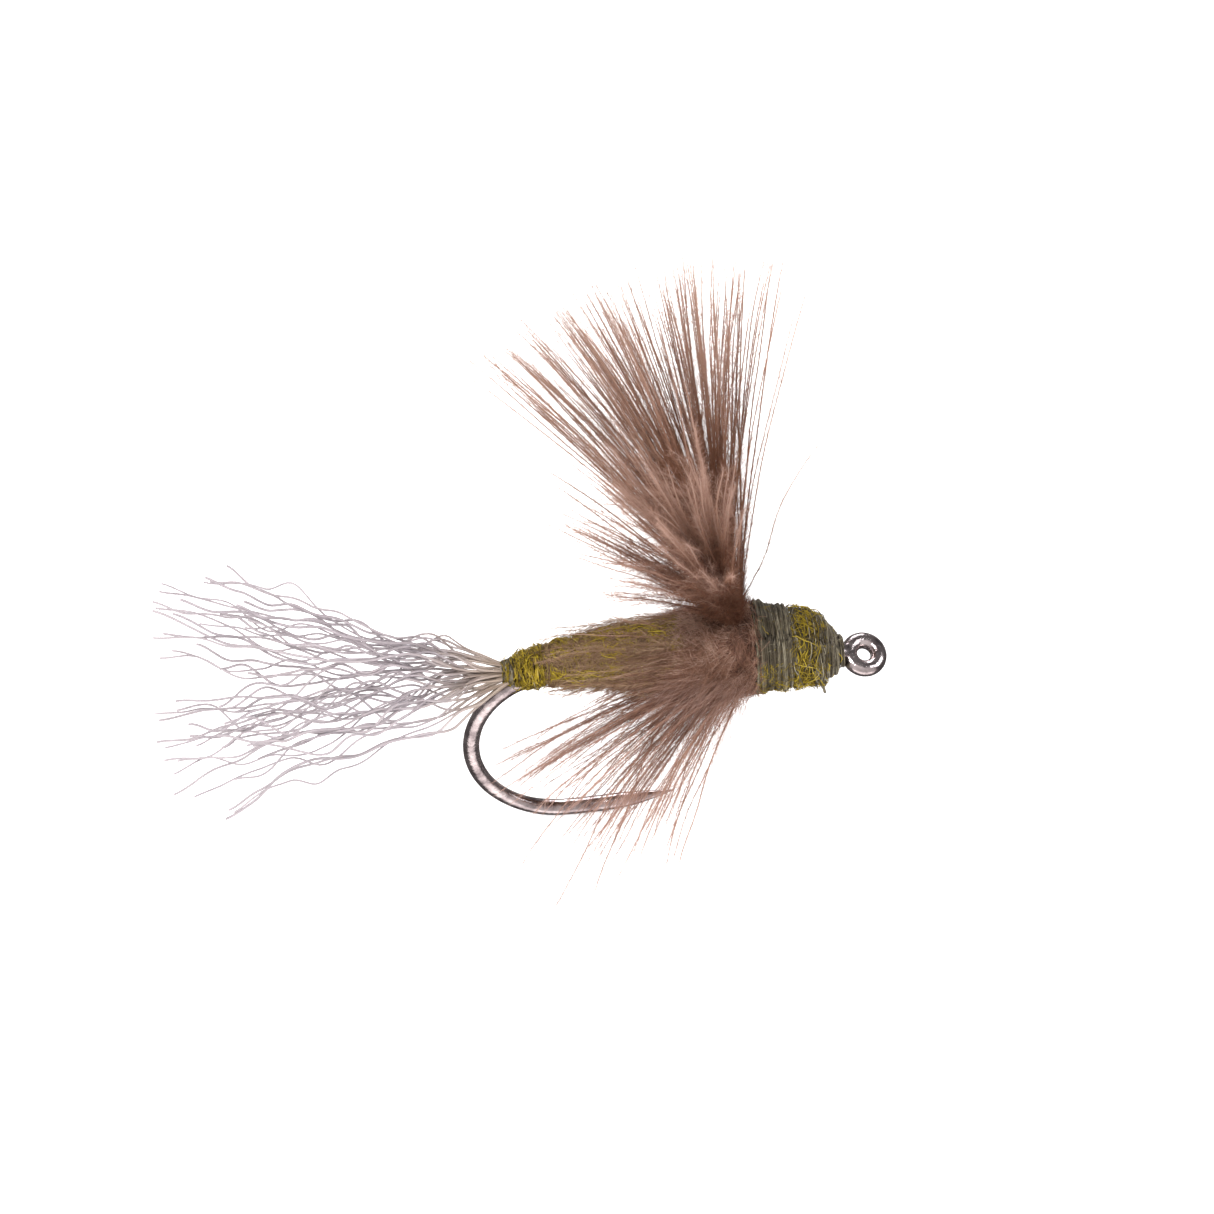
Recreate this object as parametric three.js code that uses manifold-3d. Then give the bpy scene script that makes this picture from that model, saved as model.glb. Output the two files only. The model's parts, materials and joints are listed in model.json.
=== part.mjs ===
// A size 14 dry fly tied on a round-bend hook: trailing shuck, dubbed abdomen, downy feather
// collar with splayed legs, an upright fan wing, dubbed thorax, thread head and cement.
// Millimetres, +Z up, +X towards the hook eye. The fly stands on its bend and its leg tips at
// Z = 0, and X = 0 is midway between the eye and the tip of the shuck.
import * as THREE from 'three';
import { mergeVertices } from 'three/addons/utils/BufferGeometryUtils.js';
import Module from 'manifold-3d';

// ---- hook ----
const WIRE = 0.43; // wire diameter
const BEND_RADIUS = 2.42; // centreline of the round bend
const BEND_X = 1.255; // the shank meets the bend here
const SHANK_LENGTH = 7.43; // bend to the root of the eye
const POINT_LEG = 2.9; // bottom of the bend to the point
const POINT_RISE = 0.32; // the point stands this much above the bottom of the bend
const POINT_TAPER = 1.7; // length of the needle taper
const POINT_TIP = 0.03; // diameter of the tip
const FORGED = 0.35; // thickness across the flattened sides of the bend
const EYE_RING = 0.79; // centreline diameter of the eye
const EYE_WIRE = 0.43;
const EYE_CENTRE = 7.83; // from the bend, along the shank
const EYE_DROP = 0.15; // the eye is turned down a little
const EYE_TILT = 10; // degrees, turned down
const EYE_TWIST = 24; // degrees, about the shank

const SHANK_Z = WIRE / 2 + 2 * BEND_RADIUS;
const FIT = 0.02; // room left between neighbouring pieces

// ---- thread, dubbing and feather ----
const THREAD_PITCH = 0.18;
const THREAD_RIDGE = 0.035;
const ROPE_PITCH = 0.5; // turns of the dubbed rope
const ROPE_RIDGE = 0.06;

// ---- hinges of the two parts that flex ----
const WING_ROOT = new THREE.Vector3(BEND_X + 4.55, 0, SHANK_Z + 1.3);
const WING_BALL = 0.36;
const SHUCK_ROOT = new THREE.Vector3(BEND_X - 1.84, 0, SHANK_Z + 0.1);
const SHUCK_BALL = 0.085;

const wasm = await Module();
wasm.setup();

const rad = THREE.MathUtils.degToRad;

// A closed geometry as a solid that can be joined and cut.
function solid(geometry) {
  const bare = geometry.clone();
  bare.deleteAttribute('normal');
  bare.deleteAttribute('uv');
  const merged = mergeVertices(bare, 1e-5);
  return new wasm.Manifold(new wasm.Mesh({
    numProp: 3,
    vertProperties: new Float32Array(merged.attributes.position.array),
    triVerts: new Uint32Array(merged.index.array),
  }));
}

function geometryOf(manifold) {
  const mesh = manifold.getMesh();
  const geometry = new THREE.BufferGeometry();
  geometry.setAttribute('position', new THREE.Float32BufferAttribute(mesh.vertProperties, 3));
  geometry.setIndex(Array.from(mesh.triVerts));
  geometry.computeVertexNormals();
  return geometry;
}

const join = (...solids) => solids.reduce((all, one) => all.add(one));
const cut = (body, ...tools) => tools.reduce((left, tool) => left.subtract(tool), body);

// Bends a lathe turned about Y so that its axis follows a path. frameAt(height) gives the
// centre and the two directions across the path; swell(height, angle) adds to the radius.
function bendLathe(profile, sides, frameAt, swell = () => 0) {
  const geometry = new THREE.LatheGeometry(profile, sides);
  const position = geometry.attributes.position;
  const point = new THREE.Vector3();
  for (let i = 0; i < position.count; i += 1) {
    point.fromBufferAttribute(position, i);
    const height = point.y;
    const radius = Math.hypot(point.x, point.z);
    const angle = Math.atan2(point.x, point.z);
    const { centre, across, up } = frameAt(height);
    const reach = radius < 1e-6 ? 0 : radius + swell(height, angle);
    point.copy(centre)
      .addScaledVector(across, reach * Math.cos(angle))
      .addScaledVector(up, reach * Math.sin(angle));
    position.setXYZ(i, point.x, point.y, point.z);
  }
  return geometry;
}

const ACROSS = new THREE.Vector3(0, 1, 0);

// The wire's centreline by distance from the top of the bend: positive along the shank towards
// the eye, negative round the bend and out along the point leg.
function wireFrame(distance) {
  const round = Math.PI * BEND_RADIUS;
  const bendZ = SHANK_Z - BEND_RADIUS;
  if (distance >= 0) {
    return {
      centre: new THREE.Vector3(BEND_X + distance, 0, SHANK_Z),
      across: ACROSS,
      up: new THREE.Vector3(0, 0, 1),
    };
  }
  const turn = Math.min(-distance / BEND_RADIUS, Math.PI);
  const centre = new THREE.Vector3(
    BEND_X - BEND_RADIUS * Math.sin(turn), 0, bendZ + BEND_RADIUS * Math.cos(turn),
  );
  const up = new THREE.Vector3(-Math.sin(turn), 0, Math.cos(turn));
  const along = -distance - round;
  if (along > 0) {
    centre.x += along;
    centre.z += POINT_RISE * (along / POINT_LEG) ** 2;
    up.set((-2 * POINT_RISE * along) / POINT_LEG ** 2, 0, 1).normalize().negate();
  }
  return { centre, across: ACROSS, up };
}

// A profile that starts and ends on the axis, through [distance, radius] rings.
function closedProfile(rings) {
  const ends = [rings[0][0], rings[rings.length - 1][0]];
  return [[ends[0], 0], ...rings, [ends[1], 0]].map(([d, r]) => new THREE.Vector2(r, d));
}

const evenly = (from, to, count) => Array.from(
  { length: count + 1 }, (_, i) => THREE.MathUtils.lerp(from, to, i / count),
);

function eyeRing(grow) {
  const ring = new THREE.TorusGeometry(EYE_RING / 2, EYE_WIRE / 2 + grow, 10, 26);
  ring.rotateX(rad(EYE_TWIST));
  ring.rotateY(rad(EYE_TILT));
  ring.translate(BEND_X + EYE_CENTRE, 0, SHANK_Z - EYE_DROP);
  return solid(ring);
}

const LEG_START = -Math.PI * BEND_RADIUS;
const HOOK_END = LEG_START - POINT_LEG;
function hookSolid(grow) {
  const radiusAt = (distance) => {
    const taper = Math.min(1, (distance - HOOK_END) / POINT_TAPER);
    return grow + THREE.MathUtils.lerp(POINT_TIP / 2, WIRE / 2, Math.sin((taper * Math.PI) / 2));
  };
  const distances = [
    ...evenly(HOOK_END, HOOK_END + POINT_TAPER, 5),
    ...evenly(HOOK_END + POINT_TAPER, LEG_START, 3).slice(1),
    ...evenly(LEG_START, 0, 22).slice(1),
    SHANK_LENGTH,
  ];
  const profile = closedProfile(distances.map((d) => [d, radiusAt(d)]));
  return join(solid(bendLathe(profile, 14, wireFrame)), eyeRing(grow));
}

// The sides of the bend are pressed flat, which is where a vise grips the hook.
function forgedHook() {
  const height = 2 * BEND_RADIUS + WIRE;
  const sides = [-1, 1].map((side) => {
    const block = new THREE.BoxGeometry(BEND_RADIUS + WIRE, 1, height - 1.6);
    block.translate(
      BEND_X - BEND_RADIUS / 2 - WIRE - 0.5, side * (FORGED / 2 + 0.5), height / 2 - 0.3,
    );
    return solid(block);
  });
  return cut(hookSolid(0), ...sides);
}

const hookRoom = hookSolid(FIT);

// The body's own centreline sits above the wire, because the shuck and wing butts are tied
// down on top of it. Pairs are distance from the bend and height above the wire.
const BODY_RISE = [
  [-2, 0.1], [-1.5, 0.14], [-0.4, 0.3], [0.8, 0.4], [5.1, 0.4], [6.3, 0.25], [7.3, 0.02],
];
function bodyRise(distance) {
  for (let i = 1; i < BODY_RISE.length; i += 1) {
    const [d0, z0] = BODY_RISE[i - 1];
    const [d1, z1] = BODY_RISE[i];
    if (distance <= d1) return THREE.MathUtils.mapLinear(Math.max(distance, d0), d0, d1, z0, z1);
  }
  return 0;
}

const bodyFrame = (distance) => ({
  centre: new THREE.Vector3(BEND_X + distance, 0, SHANK_Z + bodyRise(distance)),
  across: ACROSS,
  up: new THREE.Vector3(0, 0, 1),
});

// A wound piece: a spindle through [distance, radius] stations, whose skin carries the helical
// ridge of its turns. grow gives the room it needs instead, a little larger all round.
function wound({ stations, pitch = 1, ridge = 0, sides = 14, steps = 0, frame = bodyFrame, grow = 0 }) {
  const [from, to] = [stations[0][0], stations[stations.length - 1][0]];
  const radiusAt = (distance) => {
    const i = Math.max(1, stations.findIndex(([d]) => d >= distance - 1e-9));
    const [[d0, r0], [d1, r1]] = [stations[i - 1], stations[i]];
    return THREE.MathUtils.mapLinear(distance, d0, d1, r0, r1);
  };
  const rings = steps && !grow
    ? evenly(from, to, steps).map((d) => [d, radiusAt(d)])
    : stations.map(([d, r]) => [d, r + grow + (grow ? ridge : 0)]);
  rings[0][0] -= grow;
  rings[rings.length - 1][0] += grow;
  const swell = (distance, angle) => (grow ? 0 : 0.5 + 0.5 * Math.cos(
    2 * Math.PI * (distance / pitch) - angle,
  )) * ridge;
  return solid(bendLathe(closedProfile(rings), sides, frame, swell));
}

// ---- the layers of the body, from the wire outwards ----
const above = (rise, slope = 0) => (distance) => ({
  centre: new THREE.Vector3(BEND_X + distance, 0, SHANK_Z + rise + slope * distance),
  across: ACROSS,
  up: new THREE.Vector3(0, 0, 1),
});
const underbody = { stations: [[-1.05, 0.27], [-0.7, 0.27], [-0.35, 0.27], [0, 0.27], [7.1, 0.27]],
  sides: 12, frame: wireFrame };
const shuckButts = { stations: [[-1.52, 0.16], [-1.0, 0.17], [2.9, 0.1]], sides: 8, frame: above(0.46) };
const wingButts = { stations: [[4.4, 0.19], [6.1, 0.1]], sides: 10, frame: above(0.85, -0.065) };
const tailWraps = { stations: [[-1.58, 0.28], [-1.28, 0.36]], pitch: 0.12, ridge: 0.03, steps: 8 };
const tailDubbing = { stations: [[-1.25, 0.34], [-1.0, 0.44], [-0.5, 0.5]], pitch: 0.3, ridge: 0.06,
  steps: 9 };
const abdomen = { stations: [[-0.46, 0.46], [0.77, 0.62], [3.05, 0.82]], pitch: ROPE_PITCH,
  ridge: ROPE_RIDGE, steps: 28 };
const quill = { stations: [[3.3, 0.46], [4.2, 0.5]], pitch: 0.3, ridge: 0.04, steps: 9, frame: above(0) };
const collar = { stations: [[3.1, 0.86], [3.4, 1.12], [4.2, 1.22], [4.86, 1.08]], sides: 16 };
const dam = { stations: [[4.9, 1.16], [5.1, 1.18], [5.88, 1.05]], pitch: THREAD_PITCH,
  ridge: THREAD_RIDGE, steps: 20 };
const thorax = { stations: [[5.92, 1.01], [6.25, 0.98], [6.74, 0.84]], pitch: 0.26, ridge: 0.06,
  steps: 10 };
const head = { stations: [[6.78, 0.8], [6.98, 0.66], [7.14, 0.52]], pitch: THREAD_PITCH,
  ridge: THREAD_RIDGE, steps: 8 };
const whip = { stations: [[7.18, 0.44], [7.28, 0.38]], pitch: 0.08, ridge: 0.02, steps: 4 };
const cement = { stations: [[6.84, 0.86], [7.0, 0.75], [7.14, 0.61]] };

const grown = (layer) => wound({ ...layer, grow: FIT });
const wingBallRoom = new THREE.SphereGeometry(WING_BALL + FIT, 14, 10)
  .translate(WING_ROOT.x, WING_ROOT.y, WING_ROOT.z);

// The collar is parted level on top, so that the wing can fold back over it.
const PARTING = 0.1; // below the wing's root
const foldRoom = new THREE.BoxGeometry(2.4, 3, 1)
  .translate(WING_ROOT.x - 0.7, 0, WING_ROOT.z - PARTING + 0.5);

// ---- fibres ----
// A tapered fibre along a curve.
function fibre(curve, thick, thin, sides, steps) {
  const frames = curve.computeFrenetFrames(steps, false);
  const profile = [new THREE.Vector2(0, 0)];
  for (let i = 0; i <= steps; i += 1) {
    profile.push(new THREE.Vector2(THREE.MathUtils.lerp(thick, thin, i / steps), i));
  }
  profile.push(new THREE.Vector2(0, steps));
  const frameAt = (i) => ({
    centre: curve.getPointAt(Math.min(1, i / steps)),
    across: frames.normals[Math.round(i)],
    up: frames.binormals[Math.round(i)],
  });
  return solid(bendLathe(profile, sides, frameAt));
}

const BARB = 0.06; // radius of a bundle of barbs at its root
const LEG_TIP = 0.022; // and at its tip

// A barb leaves its root along one direction and curls a little towards the tip.
function barb(root, direction, length, curl) {
  const along = direction.clone().normalize();
  const middle = root.clone().addScaledVector(along, length * 0.5);
  const tip = root.clone().addScaledVector(along, length).add(curl);
  middle.addScaledVector(curl, 0.12);
  return fibre(new THREE.QuadraticBezierCurve3(root, middle, tip), BARB, LEG_TIP, 5, 3);
}

// Even but irregular steps in 0..1, the same on every run.
const scatter = (i, salt) => (((i + 1) * 0.618034 + salt * 0.377) % 1 + 1) % 1;

// Degrees that a feather's barbs lean back from upright, and out from the middle of the hook.
const WING_BACK = { [-1]: [2, 38], 1: [-7, 42] };
const WING_SPREAD = { [-1]: [6, 52], 1: [6, 48] };

// One feather of the fan wing. side is +1 or -1: the fan opens to that side of the hook, and
// back over the abdomen.
function wingFeather(side, count) {
  const ball = solid(new THREE.SphereGeometry(WING_BALL, 14, 10)
    .translate(WING_ROOT.x, WING_ROOT.y, WING_ROOT.z));
  const half = solid(new THREE.BoxGeometry(2, 1, 2)
    .translate(WING_ROOT.x, side * (0.5 + FIT / 2), WING_ROOT.z));
  const barbs = [];
  for (let i = 0; i < count; i += 1) {
    const back = THREE.MathUtils.lerp(...WING_BACK[side], i / (count - 1));
    const lateral = THREE.MathUtils.lerp(...WING_SPREAD[side], scatter(i, 1 + side));
    const length = THREE.MathUtils.lerp(8.5, 9.5, scatter(i, 4));
    const direction = new THREE.Vector3(
      -Math.sin(rad(back)),
      side * Math.cos(rad(back)) * Math.sin(rad(lateral)),
      Math.cos(rad(back)) * Math.cos(rad(lateral)),
    );
    const root = WING_ROOT.clone().add(new THREE.Vector3(0, side * 0.13, 0));
    barbs.push(barb(root, direction, length, new THREE.Vector3(0.25 * (scatter(i, 7) - 0.5), side * 0.2, 0)));
  }
  return join(ball.intersect(half), ...barbs);
}

// Barbs splayed down and back on one side, their tips level with the bottom of the bend.
function legs(side, count) {
  const root = new THREE.Vector3(BEND_X + 3.75, side * 0.95, SHANK_Z - 0.42);
  const pad = new THREE.SphereGeometry(0.22, 12, 8).scale(1.5, 0.8, 0.9);
  const barbs = [];
  for (let i = 0; i < count; i += 1) {
    const t = i / (count - 1);
    const tip = new THREE.Vector3(
      BEND_X + THREE.MathUtils.lerp(-0.6, 3.5, t),
      side * THREE.MathUtils.lerp(2.4, 3.6, scatter(i, 2)),
      LEG_TIP + 0.5 * scatter(i, 5) * (1 - t),
    );
    const direction = tip.clone().sub(root);
    barbs.push(barb(root, direction, direction.length(), new THREE.Vector3()));
  }
  return join(solid(pad.translate(root.x, root.y, root.z)), ...barbs);
}

// Shorter barbs that lie back along one side of the abdomen.
function veil(side, count) {
  const root = new THREE.Vector3(BEND_X + 3.28, side * 1.06, SHANK_Z + 0.42);
  const pad = new THREE.SphereGeometry(0.12, 10, 8);
  const barbs = [];
  for (let i = 0; i < count; i += 1) {
    const t = i / (count - 1);
    const direction = new THREE.Vector3(-1, side * (0.04 + 0.1 * scatter(i, 3)), THREE.MathUtils.lerp(-0.3, 0.5, t));
    barbs.push(barb(root, direction, THREE.MathUtils.lerp(2.6, 4.2, scatter(i, 6)), new THREE.Vector3()));
  }
  return join(solid(pad.translate(root.x, root.y, root.z)), ...barbs);
}

// One lock of crinkled yarn fibres. lean is where its middle fibre ends, 9 mm behind the root.
const SHUCK_LOCKS = [
  { name: 'shuck_lock_top', lean: [1.3, 1.5], seat: 90 },
  { name: 'shuck_lock_far', lean: [2.2, -0.3], seat: 18 },
  { name: 'shuck_lock_near', lean: [-2.3, 0.1], seat: 162 },
  { name: 'shuck_lock_middle', lean: [0.1, -0.9], seat: 306 },
  { name: 'shuck_lock_bottom', lean: [-1.6, -2.2], seat: 234 },
];
function shuckLock({ lean, seat }, index) {
  const root = SHUCK_ROOT.clone().add(
    new THREE.Vector3(0, 0.125 * Math.cos(rad(seat)), 0.125 * Math.sin(rad(seat))),
  );
  const strands = [];
  const count = 5;
  for (let i = 0; i < count; i += 1) {
    const turn = (2 * Math.PI * i) / count + index;
    const length = THREE.MathUtils.lerp(7.2, 8.85, scatter(i, index));
    const points = [];
    for (let k = 0; k <= 7; k += 1) {
      const t = k / 7;
      const crinkle = 0.1 * Math.sin(k * 2.2 + i * 1.9 + index) * Math.min(1, 3 * t);
      points.push(new THREE.Vector3(
        root.x - length * t,
        root.y + lean[0] * t ** 1.3 + 0.75 * t * Math.cos(turn) + crinkle,
        root.z + lean[1] * t ** 1.3 + 0.6 * t * Math.sin(turn) - crinkle,
      ));
    }
    strands.push(fibre(new THREE.CatmullRomCurve3(points), 0.045, 0.025, 4, 9));
  }
  return join(solid(new THREE.SphereGeometry(SHUCK_BALL, 10, 8).translate(root.x, root.y, root.z)), ...strands);
}

// The clipped end of the tying thread, below the head.
function threadTag() {
  const root = new THREE.Vector3(BEND_X + 6.7, -0.15, SHANK_Z - 0.73);
  const tip = root.clone().add(new THREE.Vector3(0.12, -0.12, -0.42));
  return fibre(new THREE.LineCurve3(root, tip), 0.045, 0.035, 6, 2);
}

// ---- materials and assembly ----
const paint = (color, roughness, metalness = 0) => ({ color, roughness, metalness });
const STEEL = paint('#4a4546', 0.22, 1);
const THREAD = paint('#5f6150', 0.75);
const BRIGHT = paint('#a39b1c', 0.95);
const OLIVE = paint('#787038', 0.95);
const DOWN = paint('#7f5f4e', 0.9);
const QUILL = paint('#9a7b62', 0.6);
const YARN = paint('#b3a6a4', 0.45);
const CEMENT = paint('#8d8c74', 0.12);

const fly = new THREE.Group();
function piece(name, body, look) {
  const mesh = new THREE.Mesh(geometryOf(body), new THREE.MeshStandardMaterial(look));
  mesh.name = name;
  fly.add(mesh);
}

const baseRoom = grown(underbody);
const shuckRoom = grown(shuckButts);
const wingRoom = grown(wingButts);
const legsNear = legs(-1, 9);
const legsFar = legs(1, 9);
const padRoom = (side) => solid(new THREE.SphereGeometry(0.22 + FIT, 12, 8).scale(1.5, 0.85, 0.95)
  .translate(BEND_X + 3.75, side * 0.95, SHANK_Z - 0.42));

piece('hook', forgedHook(), STEEL);
piece('thread_base', cut(wound(underbody), hookRoom), THREAD);
piece('shuck_butts', cut(wound(shuckButts), baseRoom, hookRoom), YARN);
piece('wing_butts', cut(wound(wingButts), baseRoom), QUILL);
piece('tail_wraps', cut(wound(tailWraps), shuckRoom, hookRoom), THREAD);
piece('tail_dubbing', cut(wound(tailDubbing), shuckRoom, baseRoom, hookRoom), BRIGHT);
piece('abdomen_dubbing', cut(wound(abdomen), shuckRoom, baseRoom, hookRoom), OLIVE);
piece('hackle_quill', cut(wound(quill), baseRoom), QUILL);
piece('feather_collar', cut(
  wound(collar), grown(quill), baseRoom, wingRoom, solid(wingBallRoom), solid(foldRoom),
  padRoom(-1), padRoom(1),
), DOWN);
piece('legs_near', legsNear, DOWN);
piece('legs_far', legsFar, DOWN);
piece('veil_near', cut(veil(-1, 6), grown(collar), grown(abdomen)), DOWN);
piece('veil_far', cut(veil(1, 6), grown(collar), grown(abdomen)), DOWN);
piece('wing_feather_near', wingFeather(-1, 12), DOWN);
piece('wing_feather_far', wingFeather(1, 15), DOWN);
piece('thorax_wraps', cut(wound(dam), baseRoom, wingRoom, solid(wingBallRoom)), THREAD);
piece('thorax_dubbing', cut(wound(thorax), baseRoom, wingRoom), BRIGHT);
piece('head_wraps', cut(wound(head), baseRoom, hookRoom), THREAD);
piece('whip_finish', cut(wound(whip), hookRoom), THREAD);
piece('head_cement', cut(wound(cement), grown(head)), CEMENT);
piece('thread_tag', threadTag(), THREAD);
SHUCK_LOCKS.forEach((lock, index) => piece(lock.name, shuckLock(lock, index), YARN));

export default fly;
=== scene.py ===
"""A size 14 dry fly, seen as it stands on a pale table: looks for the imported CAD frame."""
import json
import math

import bpy
import numpy as np
from mathutils import Matrix, Vector


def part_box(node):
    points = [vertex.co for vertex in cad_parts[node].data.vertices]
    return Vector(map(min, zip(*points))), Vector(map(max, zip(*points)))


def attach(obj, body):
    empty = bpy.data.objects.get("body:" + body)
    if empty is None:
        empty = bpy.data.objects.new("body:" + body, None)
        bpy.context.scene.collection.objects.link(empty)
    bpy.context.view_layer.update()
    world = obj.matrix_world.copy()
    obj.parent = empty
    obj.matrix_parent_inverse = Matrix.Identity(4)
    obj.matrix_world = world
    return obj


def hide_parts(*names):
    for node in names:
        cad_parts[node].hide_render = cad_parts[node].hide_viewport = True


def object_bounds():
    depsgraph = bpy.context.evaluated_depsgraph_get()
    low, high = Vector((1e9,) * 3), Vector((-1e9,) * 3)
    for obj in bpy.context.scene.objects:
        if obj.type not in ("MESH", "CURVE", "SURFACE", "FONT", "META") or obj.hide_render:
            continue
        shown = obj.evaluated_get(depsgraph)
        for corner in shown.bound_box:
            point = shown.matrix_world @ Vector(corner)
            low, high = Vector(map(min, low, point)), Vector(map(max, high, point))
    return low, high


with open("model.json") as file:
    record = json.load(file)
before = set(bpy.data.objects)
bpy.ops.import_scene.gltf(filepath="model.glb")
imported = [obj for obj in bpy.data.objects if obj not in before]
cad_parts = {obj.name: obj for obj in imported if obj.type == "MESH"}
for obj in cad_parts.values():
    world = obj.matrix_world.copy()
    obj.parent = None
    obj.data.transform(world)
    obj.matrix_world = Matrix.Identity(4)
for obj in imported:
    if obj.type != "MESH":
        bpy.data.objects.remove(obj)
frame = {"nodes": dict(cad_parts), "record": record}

cad_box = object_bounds()
MM = 0.001
rng = np.random.default_rng(14)

# ---- the CAD frame that everything follows ----
WIRE = 0.43 * MM
BEND_RADIUS = 2.42 * MM
FORGED = 0.35 * MM
hook_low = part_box("hook")[0]
BEND_X = hook_low[0] + WIRE / 2 + BEND_RADIUS
SHANK_Z = hook_low[2] + WIRE / 2 + 2 * BEND_RADIUS
JOINTS = {j["name"]: np.array(j["pos_m"]) for j in frame["record"]["behaviour"]["joints"]}
WING_ROOT = JOINTS["wing_flex"]
SHUCK_ROOT = JOINTS["shuck_flex"]
BODY = "hook_and_body"
ALONG, ACROSS, UP = np.eye(3)
TURN = 2 * math.pi


def unit(v):
    return v / np.maximum(np.linalg.norm(v, axis=-1, keepdims=True), 1e-12)


def to_tip(steps):
    """A row from 0 at the root of a fibre to 1 at its tip."""
    return np.linspace(0, 1, steps)[None, :]


def spokes(angle):
    """Directions out from the body's axis and round it; angle 0 is +Y, a quarter turn +Z."""
    zero = 0 * angle
    return (np.stack([zero, np.cos(angle), np.sin(angle)], axis=-1),
            np.stack([zero, -np.sin(angle), np.cos(angle)], axis=-1))


class Layer:
    """A wound CAD node as a spindle: its radius and the height of its axis along x, read from
    its mesh, and the relief of the turns on its skin."""

    WARP = 0.2
    CROWN = 0.7
    TALL, TALL_SWING = 0.8, 0.4

    def __init__(self, node, pitch, depth, seed):
        """pitch from turn to turn and depth of the grooves between them, in mm."""
        mesh = frame["nodes"][node].data
        v = np.empty(len(mesh.vertices) * 3)
        mesh.vertices.foreach_get("co", v)
        v = v.reshape(-1, 3)
        v = v[v[:, 1] > 0]
        outline = []
        for p in v[np.lexsort((-v[:, 1], v[:, 0]))]:
            while len(outline) > 1 and self.sags(outline[-2], outline[-1], p):
                outline.pop()
            outline.append(p)
        outline = np.array(outline)
        keep = np.unique(np.round(outline[:, 0], 8), return_index=True)[1]
        self.x, self.r, self.z = outline[keep].T
        self.x0, self.x1 = self.x[0], self.x[-1]
        self.pitch, self.depth = pitch * MM, depth * MM
        self.waves = np.random.default_rng(seed).normal(size=(5, 3))

    @staticmethod
    def sags(a, b, c):
        """True if b lies under the line from a to c."""
        return (b[1] - a[1]) * (c[0] - a[0]) <= (c[1] - a[1]) * (b[0] - a[0])

    def axis(self, x):
        return np.interp(x, self.x, self.z)

    def radius(self, x, angle):
        r = np.interp(x, self.x, self.r)
        u = (x - self.x0) / self.pitch
        warp = sum(w[0] * self.WARP * np.sin((0.5 + 0.35 * k) * u + 3 * w[1] + (k % 3) * angle)
                   for k, w in enumerate(self.waves))
        crown = np.abs(np.sin(math.pi * (u - angle / TURN + warp))) ** self.CROWN
        tall = self.TALL + self.TALL_SWING * np.sin(1.9 * u + 2 * np.cos(angle + self.waves[0, 2]))
        return r + self.depth * (crown * tall - 1)

    def height(self, x, angle):
        """0 in the grooves between turns to 1 on top of them."""
        return np.clip(1 + (self.radius(x, angle) - np.interp(x, self.x, self.r))
                       / max(self.depth, 1e-9), 0, 1)

    def point(self, x, angle, proud=0.0):
        """A point on the skin: angle 0 is +Y and a quarter turn is +Z."""
        r = self.radius(x, angle) + proud
        return np.stack([x + 0 * angle, r * np.cos(angle), self.axis(x) + r * np.sin(angle)],
                        axis=-1)


# ---- mesh builders ----
def mesh_object(name, verts, faces, attributes=None):
    """An object from an array of vertices and arrays of faces with 3 or 4 corners."""
    mesh = bpy.data.meshes.new(name)
    mesh.vertices.add(len(verts))
    mesh.vertices.foreach_set("co", np.asarray(verts, dtype=np.float32).ravel())
    corners = np.concatenate([f.ravel() for f in faces]).astype(np.int32)
    sizes = np.concatenate([np.full(len(f), f.shape[1]) for f in faces])
    mesh.loops.add(len(corners))
    mesh.loops.foreach_set("vertex_index", corners)
    mesh.polygons.add(len(sizes))
    starts = np.concatenate([[0], np.cumsum(sizes)[:-1]]).astype(np.int32)
    mesh.polygons.foreach_set("loop_start", starts)
    for key, values in (attributes or {}).items():
        mesh.attributes.new(key, "FLOAT", "POINT").data.foreach_set(
            "value", np.asarray(values, dtype=np.float32))
    mesh.update(calc_edges=True)
    mesh.validate()
    mesh.shade_smooth()
    obj = bpy.data.objects.new(name, mesh)
    bpy.context.scene.collection.objects.link(obj)
    return obj


def grid_faces(rows, columns):
    """Quads between rings of a tube, numbered ring by ring."""
    index = np.arange(rows * columns).reshape(rows, columns)
    a, b = index[:-1], index[1:]
    return np.stack([a, np.roll(a, -1, 1), np.roll(b, -1, 1), b], axis=-1).reshape(-1, 4)


def capped(rings):
    """Vertices and faces of a closed tube from its rings: ring, corner, xyz."""
    rows, columns, _ = rings.shape
    verts = np.concatenate([rings.reshape(-1, 3), rings[[0, -1]].mean(axis=1)])
    first, last = np.arange(columns), np.arange(columns) + (rows - 1) * columns
    caps = np.concatenate([
        np.stack([np.full(columns, rows * columns), np.roll(first, -1), first], axis=-1),
        np.stack([np.full(columns, rows * columns + 1), last, np.roll(last, -1)], axis=-1)])
    return verts, [grid_faces(rows, columns), caps]


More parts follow.
